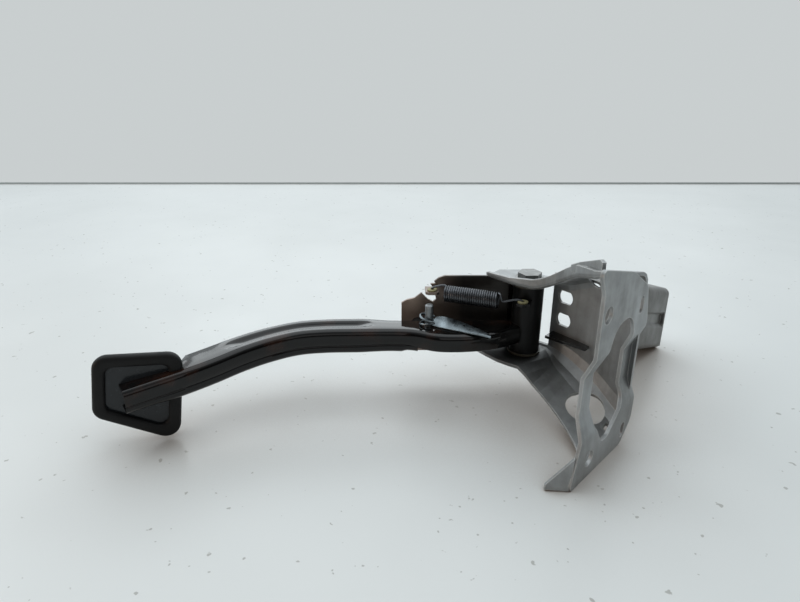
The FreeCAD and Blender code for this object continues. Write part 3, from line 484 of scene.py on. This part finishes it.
# Heights below the top and growth in width, with the distances between which each takes effect
UPPER_START = 0
UPPER_RIM = -10.8
HUB_RIM = -12.6
RIM_FROM, RIM_TO = -92, -76
LOWER_START = -79
LOWER_FLOOR = -17.7
LOWER_FROM, LOWER_TO = -74, -92
LEAST_SIDE = 1.2
FOOT_TAPER = 3
TAPER_FROM, TAPER_TO = -245, -272
ARM_SWELL = 1.8
ROOF_SWELL = 0.8
SWELL_FROM, SWELL_TO = -98, -124

# Pressed bead in the roof: half of its width and the least share of it at the ends, its depth and the
# run over which it deepens, and its cross-section in shares of half width and depth
BEAD_FROM, BEAD_TO = -112, -215
BEAD_HALF = 5.8
BEAD_END = 0.4
BEAD_DEEP = 2.1
BEAD_RUN = 12.76
BEAD_LINE = [
    (-1.0, 0), (-0.88, 0.07), (-0.76, 0.27), (-0.64, 0.6), (-0.52, 0.88), (-0.38, 1),
    (0.38, 1), (0.52, 0.88), (0.64, 0.6), (0.76, 0.27), (0.88, 0.07), (1.0, 0),
]

# Flat bottom of the lower pressing between its two corners
FLAT_LINE = [(-4, 0), (-2.4, 0), (-1.2, 0), (1.2, 0), (2.4, 0), (4, 0)]

# Pad's frame in the arm frame, and the edge of its plate that the arm is pressed over: where beside the
# edge that starts and is full, the depth that stays free, and the share that is left beyond it
PAD_PLACE = (-264.5, -65, -23.6)
PAD_TURN = math.radians(17)
PAD_TILT = math.radians(17.6)
PAD_FACING = Matrix.Rotation(PAD_TURN, 4, "Z") @ Matrix.Rotation(PAD_TILT, 4, "Y")
PAD_FRAME = Matrix.Translation(PAD_PLACE) @ PAD_FACING
PAD_HALF_LONG = 27.5
PAD_EDGE_LEAN = 0.174
PRESS_FROM, PRESS_TO = 0.5, -1.5
PRESS_DEEP = 0.2
PRESS_LEFT = 0.06


def eased(value, start, end):
    """Rises smoothly from 0 at the start to 1 at the end."""
    part = min(max((value - start) / (end - start), 0), 1)
    return part * part * (3 - 2 * part)


def corner_arc(across, radius, start):
    """A quarter circle round the middle of a sheet's corner, clockwise from an angle in degrees."""
    line = []
    for step in range(CORNER_STEPS + 1):
        angle = math.radians(start - 90 * step / CORNER_STEPS)
        line.append((across + radius * math.cos(angle), -SHELL_CORNER + radius * math.sin(angle)))
    return line


def sheet_side(centre, radius, middle):
    """One side of the sheet: a corner, the line between the corners, the other corner."""
    return corner_arc(-centre, radius, 180) + middle + corner_arc(centre, radius, 90)


def channel(half, roof, rim, middle):
    """Outline of a bent sheet channel open towards its rim: the outer side, then the inner side back."""
    centre = half - SHELL_CORNER
    inner_half = half - SHELL_WALL
    inner_middle = [(across, up - SHELL_WALL) for across, up in middle]
    outer = sheet_side(centre, SHELL_CORNER, middle)
    inner = sheet_side(centre, SHELL_CORNER - SHELL_WALL, inner_middle)
    low = -abs(roof - rim)
    high = -SHELL_CORNER - CORNER_LEAD
    left = [(-half + RIM_ROUND, low), (-half, low + RIM_RISE), (-half, high)]
    right = [(half, high), (half, low + RIM_RISE), (half - RIM_ROUND, low)]
    outline = left + outer + right + [(inner_half, low)] + inner[::-1] + [(-inner_half, low)]
    way = 1 if roof > rim else -1
    return [(across, roof + way * up) for across, up in outline]


def channel_cap(outline):
    """Triangles that close the sheet's cut end."""
    return tessellate_polygon([[Vector((across, up, 0)) for across, up in outline]])


def swell(along):
    return eased(along, SWELL_FROM, SWELL_TO)


def half_width(along, width):
    return width / 2 + ARM_SWELL * swell(along)


def bead_line(along):
    """The roof between its two corners, with the pressed bead."""
    run = max(min(BEAD_FROM - along, along - BEAD_TO), 0)
    part = min(run / BEAD_HALF, 1)
    wide = BEAD_HALF * max(math.sqrt(1 - (1 - part) ** 2), BEAD_END)
    deep = BEAD_DEEP * eased(run, 0, BEAD_RUN)
    return [(across * wide, -depth * deep) for across, depth in BEAD_LINE]


def upper_outline(along, width):
    rim = UPPER_RIM + (HUB_RIM - UPPER_RIM) * eased(along, RIM_FROM, RIM_TO)
    return channel(half_width(along, width), ROOF_SWELL * swell(along), rim, bead_line(along))


def lower_outline(along, width):
    low = LOWER_FLOOR * eased(along, LOWER_FROM, LOWER_TO)
    low += FOOT_TAPER * eased(along, TAPER_FROM, TAPER_TO)
    low = min(low, UPPER_RIM - SHELL_CORNER - LEAST_SIDE)
    return channel(half_width(along, width), low, UPPER_RIM, FLAT_LINE)


def off_hub(point):
    """A point of the arm pushed off the hub's bore."""
    flat = Vector((point.x, point.y))
    if flat.length < HUB_SEAT:
        flat = flat.normalized() * HUB_SEAT
    return Vector((flat.x, flat.y, point.z))


def pressed_on_pad(point):
    """A point of the arm pressed flat against the pad's plate."""
    local = PAD_FRAME.inverted() @ point
    edge = PAD_HALF_LONG - PAD_EDGE_LEAN * local.z
    inside = eased(local.x, edge + PRESS_FROM, edge + PRESS_TO)
    beyond = local.y - PRESS_DEEP
    if beyond > 0:
        local.y -= (1 - PRESS_LEFT) * beyond * inside
    return PAD_FRAME @ local


def row_ring(along, side, top, heading, outline):
    """An outline set upright on its row of the arm."""
    across = Vector((math.cos(heading), math.sin(heading), 0))
    points = [Vector((along, side, top + up)) + across * sideways for sideways, up in outline]
    return [arm_point(*pressed_on_pad(off_hub(point))) for point in points]


def make_shell(name, node, start, outline_at):
    """A pressed half of the arm, from its start to the end on the pad."""
    rings = []
    for along, side, top, width, heading in smooth_line([Vector(row) for row in ARM_STATIONS], ROW_STEPS):
        if along <= start:
            outline = outline_at(along, width)
            rings.append(row_ring(along, side, top, math.radians(heading), outline))
    shell = skin(name, rings, cap=channel_cap(outline))
    shell.data.materials.append(PAINT)
    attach(shell, "pedal")
    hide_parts(node)


# Pad rubber in its frame: corners, and (inset, depth, corner radius) from the window round to the tread
TREAD_FACE = 10
PAD_CORNERS = [(-24.3, -20.3), (32.8, -32.5), (22.2, 34), (-30.7, 22)]
RUBBER_STEPS = [
    (8, 1, 5.5), (8, -1.4, 5.5), (7.4, -2.5, 5.5), (6.2, -3, 5.5), (2.6, -3, 6.9), (1.1, -2.6, 8.4),
    (0.25, -1.4, 9.25), (0, 0.4, 9.5), (0.5, 2.6, 9), (3.6, 8.0, 5.9), (4.4, 9.4, 5.1),
    (6, TREAD_FACE, 5.5),
]
OUTLINE_STEPS = 8

# Grooves across the tread, and the faces of a block between two rings of four corners
TREAD_FROM, TREAD_TO = -18.5, 17
TREAD_HALF = 15.5
TREAD_GROOVES = 5
TREAD_WIDE = 3
TREAD_DEEP = 2
BLOCK_FACES = [(0, 1, 2, 3), (7, 6, 5, 4), (0, 4, 5, 1), (1, 5, 6, 2), (2, 6, 7, 3), (3, 7, 4, 0)]


def crossing(first, first_way, second, second_way):
    """Where two lines in the pad's plane meet."""
    turn = first_way.x * second_way.y - first_way.y * second_way.x
    gap = second - first
    return first + first_way * ((gap.x * second_way.y - gap.y * second_way.x) / turn)


def rounded_outline(corners, inset, radius):
    """A convex outline moved inwards, with rounded corners."""
    points = [Vector(corner) for corner in corners]
    ways = [(points[(here + 1) % len(points)] - point).normalized() for here, point in enumerate(points)]
    starts = [point + Vector((-way.y, way.x)) * inset for point, way in zip(points, ways)]
    line = []
    for here, way in enumerate(ways):
        before = ways[here - 1]
        corner = crossing(starts[here - 1], before, starts[here], way)
        bend = before.angle(way)
        centre = corner + (way - before).normalized() * (radius / math.cos(bend / 2))
        first = math.atan2(-before.x, before.y)
        for step in range(OUTLINE_STEPS + 1):
            angle = first + bend * step / OUTLINE_STEPS
            line.append(centre + Vector((math.cos(angle), math.sin(angle))) * radius)
    return line


def pad_point(across, deep, up):
    return arm_point(*(PAD_FRAME @ Vector((across, deep, up))))


def tread_blocks():
    """Bars that stand where the grooves run across the foot side."""
    pitch = (TREAD_TO - TREAD_FROM - TREAD_WIDE) / (TREAD_GROOVES - 1)
    points, faces = [], []
    for groove in range(TREAD_GROOVES):
        base = len(points)
        left = TREAD_FROM + groove * pitch
        right = left + TREAD_WIDE
        outline = [(left, -TREAD_HALF), (right, -TREAD_HALF), (right, TREAD_HALF), (left, TREAD_HALF)]
        for deep in (TREAD_FACE - TREAD_DEEP, TREAD_FACE + TREAD_DEEP):
            points += [pad_point(across, deep, up) for across, up in outline]
        faces += [tuple(base + corner for corner in face) for face in BLOCK_FACES]
    return closed_mesh("tread_blocks", points, faces)


def cut_tread(rubber):
    """The rubber with its grooves cut."""
    cutter = add_object("tread_blocks", tread_blocks())
    cut = rubber.modifiers.new("tread", "BOOLEAN")
    cut.operation = "DIFFERENCE"
    cut.solver = "EXACT"
    cut.object = cutter
    shaped = bpy.data.meshes.new_from_object(rubber.evaluated_get(bpy.context.evaluated_depsgraph_get()))
    rubber.modifiers.remove(cut)
    bpy.data.objects.remove(cutter)
    rubber.data = shaped
    shaped.set_sharp_from_angle(angle=math.radians(FIRM_BEND))


def make_rubber():
    rings = []
    for inset, deep, radius in RUBBER_STEPS:
        outline = rounded_outline(PAD_CORNERS, inset, radius)
        rings.append([pad_point(point.x, deep, point.y) for point in outline])
    rubber = skin("pad_moulding", rings, sharp=FIRM_BEND)
    rubber.data.materials.append(PAD)
    cut_tread(rubber)
    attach(rubber, "pedal")
    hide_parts("pad_rubber")


# Clip on the clevis pin, in a frame on the pin turned along the leaf
CLIP_PLACE = (-72, -7, -1)
CLIP_TURN = math.radians(-28)
CLIP_FRAME = Matrix.Translation(CLIP_PLACE) @ Matrix.Rotation(CLIP_TURN, 4, "Z")

# Leaf: rows of distance, width and the heights of its far and near edge, then its section
LEAF_ROWS = [
    (3, 7, 4.2, 0.6), (7, 9.5, 4.6, 0.2), (14, 10, 4.2, 0.2), (22, 9.4, 3.4, 0.3),
    (31, 8, 2.6, 0.7), (39, 6, 1.8, 1.0), (45, 4, 1.1, 0.8), (48, 1.6, 0.5, 0.5),
]
LEAF_STEPS = 4
LEAF_NEAR = -2.0
LEAF_CROWN = 0.5
LEAF_BELLY = 0.2
LEAF_SHEET = 0.9

# Loops that grip the pin: first angle and sweep in degrees, height and tilt, then what both share
CLIP_LOOPS = {"clip_loop_lower": (40, 290, 2.4, 1.6), "clip_loop_upper": (70, 250, 5.6, -1.4)}
LOOP_REACH = 6.6
LOOP_SIDE = 5.28
LOOP_WIRE = 0.9
LOOP_STEPS = 28


def clip_point(along, across, up):
    return arm_point(*(CLIP_FRAME @ Vector((along, across, up))))


def make_leaf():
    """Sprung leaf from the pin over the arm's near edge."""
    rings = []
    for along, wide, far_up, near_up in smooth_line([Vector(row) for row in LEAF_ROWS], LEAF_STEPS):
        far = wide + LEAF_NEAR
        middle = (LEAF_NEAR + far) / 2
        crown = (near_up + far_up) / 2 + LEAF_CROWN
        outline = [
            (LEAF_NEAR, near_up), (middle, crown - LEAF_BELLY), (far, far_up),
            (far, far_up + LEAF_SHEET), (middle, crown + LEAF_SHEET), (LEAF_NEAR, near_up + LEAF_SHEET),
        ]
        rings.append([clip_point(along, across, up) for across, up in outline])
    leaf = skin("clip_leaf", rings, sharp=FIRM_BEND)
    leaf.data.materials.append(CLIP_LOOK)
    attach(leaf, "pedal")
    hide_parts("pin_clip")


def make_loop(name, start, sweep, level, tilt):
    """Wire loop round the pin, tilted along the leaf."""
    line = []
    for step in range(LOOP_STEPS + 1):
        angle = math.radians(start + sweep * step / LOOP_STEPS)
        cosine, sine = math.cos(angle), math.sin(angle)
        line.append(clip_point(LOOP_REACH * cosine, LOOP_SIDE * sine, level + tilt * cosine))
    loop = round_wire(name, line, LOOP_WIRE * MM)
    loop.data.materials.append(CLIP_LOOK)
    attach(loop, "pedal")


# Black web that closes the bracket behind the hub: its outline, and the (side, inset) steps of its edge
WEB_OUTLINE = [
    (-13, -24), (-13, 29.5), (9, 29.5), (9.5, 22), (8, 6), (7.5, -10), (5, -22), (2, -25.5), (-10, -25.5),
]
WEB_MIDDLE = Vector((-2, 2))
WEB_STEPS = [(12.3, 0.5), (12.8, 0), (13.3, 0), (13.8, 0.5)]


def make_web():
    """A plate with softened edges."""
    rings = []
    for side, inset in WEB_STEPS:
        points = [Vector(corner) for corner in WEB_OUTLINE]
        points = [point - (point - WEB_MIDDLE).normalized() * inset for point in points]
        rings.append([arm_point(point.x, side, point.y) for point in points])
    web = skin("stop_web", rings, sharp=FIRM_BEND)
    web.data.materials.append(PAINT)
    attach(web, "bracket")


# Floor: pale board with a painted shadow where the part covers it, and the joint with the wall
BOARD_SHADES = [(0.64, 0.655, 0.645), (0.69, 0.705, 0.695)]
BOARD_SPECK = (0.6, 0.59, 0.57)
CONTACT_SHADOW_COLOUR = (0.4, 0.33, 0.28, 1)
CONTACT_SHADOW_RANGE = (0.25, 0.95)
COVER_SAMPLES = 8
JOINT_SHADES = [(0.5, 0.55, 0.545), (0.56, 0.61, 0.605)]


def board_look():
    look = Look("pale_board", 0.38)
    tone = look.ramp(look.noise(3.5, 3), *BOARD_SHADES)
    specks = look.ramp(look.noise(190, 2, rough=0.4), BOARD_SPECK, WHITE, 0.24, 0.27)
    # Painted contact shadow: the board turns a warm dark shade where ambient occlusion finds the part
    # close above it
    cover = look.add("AmbientOcclusion", {"Distance": SHADOW_REACH})
    cover.samples = COVER_SAMPLES
    shadowed = look.spread(cover.outputs["AO"], 0, 1, *CONTACT_SHADOW_RANGE)
    look.colour(look.mix(shadowed, CONTACT_SHADOW_COLOUR, look.darkened(tone, specks, weight=1.0)))
    look.roughness(look.noise(9, 4), 0.3, 0.5)
    return look.material


def joint_look():
    look = Look("joint_line", 0.8)
    look.colour(look.ramp(look.noise(3, 2), *JOINT_SHADES))
    return look.material


def make_floor():
    """Pale board under the part, ending behind it as in the photograph."""
    away = Vector((-math.sin(CAMERA_AZIMUTH), math.cos(CAMERA_AZIMUTH), 0))
    across = Vector((away.y, -away.x, 0))
    foot = Vector((CAMERA_PLACE.x, CAMERA_PLACE.y, FLOOR_Z))
    ways = (away, across, UP)
    offsets = [
        (FLOOR_NEAR, -FLOOR_SIDE, 0), (FLOOR_NEAR, FLOOR_SIDE, 0),
        (FLOOR_EDGE, FLOOR_SIDE, 0), (FLOOR_EDGE, -FLOOR_SIDE, 0),
        (FLOOR_EDGE, FLOOR_SIDE, JOINT_LINE), (FLOOR_EDGE, -FLOOR_SIDE, JOINT_LINE),
    ]
    mesh = bpy.data.meshes.new("floor")
    points = [tuple(moved(foot, offset, ways)) for offset in offsets]
    mesh.from_pydata(points, [], [(0, 1, 2, 3), (3, 2, 4, 5)])
    floor = add_object("floor", mesh)
    mesh.materials.append(board_look())
    mesh.materials.append(joint_look())
    mesh.polygons[1].material_index = 1


# Room light: the way to its bright side, shades from dim to bright, and the wall that the camera sees
BRIGHT_SIDE = Vector((-0.55, 0.6, 0.58)).normalized()
ROOM_SHADES = [(0.04, 0.037, 0.034), (0.7, 0.76, 0.79)]
ROOM_RANGE = (0.36, 0.74)
WALL_SHADE = (0.585, 0.62, 0.625, 1)

# Lamps: place, width, height, power and colour
LAMP_TARGET = Vector((-0.12, 0.0, 0.0))
LAMPS = {
    "ceiling": ((-0.2, 0.2, 1.4), 1.7, 1.3, 7.5, (0.94, 0.98, 1)),
    "wall_wash": ((-1.6, 1.7, 1.25), 2.8, 1.1, 15.5, (0.93, 0.98, 1)),
    "window": ((-1.3, -0.6, 0.9), 1.0, 1.0, 4, (0.93, 0.97, 1)),
    "front_fill": ((0.9, -0.9, 0.8), 1.0, 0.8, 1.6, WHITE),
    "warm_bounce": ((-0.45, -0.75, 0.12), 0.5, 0.2, 0.7, (1, 0.76, 0.6)),
}


def make_world():
    """Pale wall for the camera; elsewhere a room that is bright behind and above and dim in front."""
    world = bpy.data.worlds.new("studio")
    bpy.context.scene.world = world
    world.use_nodes = True
    world.node_tree.nodes.clear()
    room = Shading(world.node_tree)
    facing = room.measure("DOT_PRODUCT", room.add("TexCoord").outputs["Generated"], BRIGHT_SIDE)
    level = room.add("MapRange", {"Value": facing, "From Min": -1}).outputs["Result"]
    around = room.add("Background", {"Color": room.ramp(level, *ROOM_SHADES, *ROOM_RANGE)}).outputs[0]
    seen = room.add("Background", {"Color": WALL_SHADE}).outputs[0]
    camera_ray = room.add("LightPath").outputs["Is Camera Ray"]
    blend = room.add("MixShader", {"Fac": camera_ray, 1: around, 2: seen}).outputs[0]
    room.add("OutputWorld", {"Surface": blend})


def make_lamps():
    for name, (place, width, height, power, colour) in LAMPS.items():
        data = bpy.data.lights.new(name, "AREA")
        data.shape = "RECTANGLE"
        data.size, data.size_y = width, height
        data.energy = power
        data.color = colour
        lamp = add_object(name, data)
        lamp.location = place
        lamp.rotation_mode = "QUATERNION"
        lamp.rotation_quaternion = (LAMP_TARGET - Vector(place)).to_track_quat("-Z", "Y")


def make_camera():
    data = bpy.data.cameras.new("camera")
    data.lens = LENS
    data.sensor_width = SENSOR_WIDTH
    data.clip_start = NEAREST_SEEN
    cosine, sine = math.cos(CAMERA_AZIMUTH), math.sin(CAMERA_AZIMUTH)
    level, drop = math.cos(CAMERA_PITCH), math.sin(CAMERA_PITCH)
    right = Vector((cosine, sine, 0))
    forward = Vector((-sine * level, cosine * level, -drop))
    turn = Matrix((right, right.cross(forward), -forward)).transposed().to_4x4()
    camera = add_object("camera", data)
    camera.matrix_world = Matrix.Translation(CAMERA_PLACE) @ turn
    bpy.context.scene.camera = camera


make_camera()
dress_nodes()
make_spring()
make_shell("arm_upper_pressing", "arm_upper_shell", UPPER_START, upper_outline)
make_shell("arm_lower_pressing", "arm_lower_shell", LOWER_START, lower_outline)
make_rubber()
make_leaf()
for loop_name, loop_sizes in CLIP_LOOPS.items():
    make_loop(loop_name, *loop_sizes)
make_web()
make_floor()
make_world()
make_lamps()
bpy.context.scene.view_settings.view_transform = "Standard"
bpy.context.view_layer.update()
